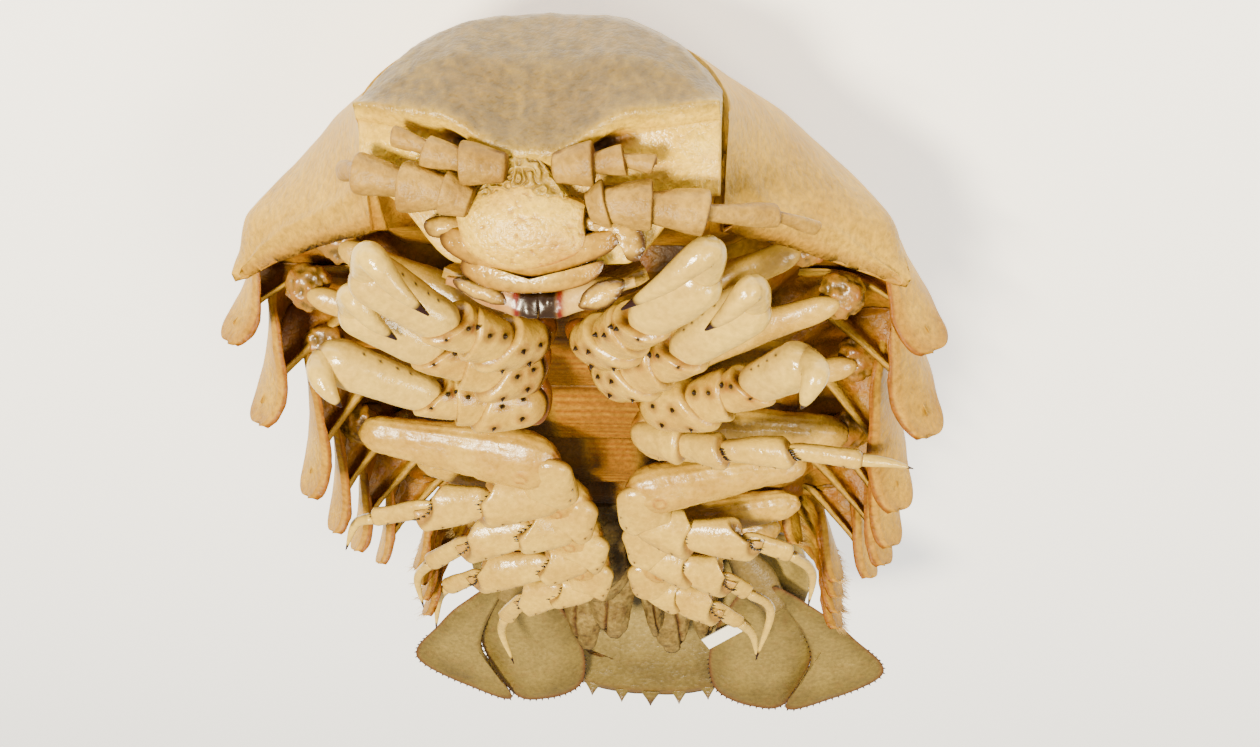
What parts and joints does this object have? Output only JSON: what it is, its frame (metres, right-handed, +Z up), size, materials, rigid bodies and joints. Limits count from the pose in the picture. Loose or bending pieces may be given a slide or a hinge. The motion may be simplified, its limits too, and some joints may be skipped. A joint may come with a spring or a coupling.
{
  "type": "giant isopod exoskeleton",
  "caption": "Dried, curled giant isopod shell lying on its back: ringed back plates with swept side plates, folded clawed legs, head, gill flaps and spined tail fan.",
  "frame": {"origin": "centre of the bounding box, on the ground plane that the back rests on", "axes": "+Z up, towards the belly side; -Y towards the head; +X towards the animal's right side"},
  "size_m": [0.1159, 0.2071, 0.0546],
  "materials": {
    "back_shell": "dry chitin, satin, rough on the back",
    "head_shell": "dry chitin, satin, fine dimples",
    "mouth_plates": "dry amber chitin, half gloss",
    "jaw": "dark hardened tooth, gloss, in a cream jaw",
    "limb_shell": "ivory chitin, half gloss",
    "gill_flaps": "grey-brown leathery flaps, matte",
    "tail_shell": "olive-cream chitin, satin",
    "paper": "blank paper strip, matte"
  },
  "bodies": {
    "root": {"antenna_left": "limb_shell", "antenna_right": "limb_shell", "antennule_left": "limb_shell", "antennule_right": "limb_shell", "clypeus": "head_shell", "frontal_lamina": "head_shell", "head": "head_shell", "labrum": "mouth_plates", "mandible_left": "jaw", "mandible_right": "jaw", "maxilliped_left": "mouth_plates", "maxilliped_right": "mouth_plates", "paper_label": "paper", "pereonite_1": "back_shell", "pereonite_2": "back_shell", "pereonite_3": "back_shell", "pereonite_4": "back_shell", "pereonite_5": "back_shell", "pereonite_6": "back_shell", "pereonite_7": "back_shell", "pereopod_1_left": "limb_shell", "pereopod_1_right": "limb_shell", "pereopod_2_left": "limb_shell", "pereopod_2_right": "limb_shell", "pereopod_3_left": "limb_shell", "pereopod_3_right": "limb_shell", "pereopod_4_left": "limb_shell", "pereopod_4_right": "limb_shell", "pereopod_5_left": "limb_shell", "pereopod_5_right": "limb_shell", "pereopod_6_left": "limb_shell", "pereopod_6_right": "limb_shell", "pereopod_7_left": "limb_shell", "pereopod_7_right": "limb_shell", "pleonite_1": "back_shell", "pleonite_2": "back_shell", "pleonite_3": "back_shell", "pleonite_4": "back_shell", "pleonite_5": "back_shell", "pleopod_1_left": "gill_flaps", "pleopod_1_right": "gill_flaps", "pleopod_2_left": "gill_flaps", "pleopod_2_right": "gill_flaps", "pleopod_3_left": "gill_flaps", "pleopod_3_right": "gill_flaps", "pleopod_4_left": "gill_flaps", "pleopod_4_right": "gill_flaps", "pleopod_5_left": "gill_flaps", "pleopod_5_right": "gill_flaps", "pleotelson": "tail_shell", "uropod_left": "tail_shell", "uropod_right": "tail_shell"}
  },
  "joints": []
}
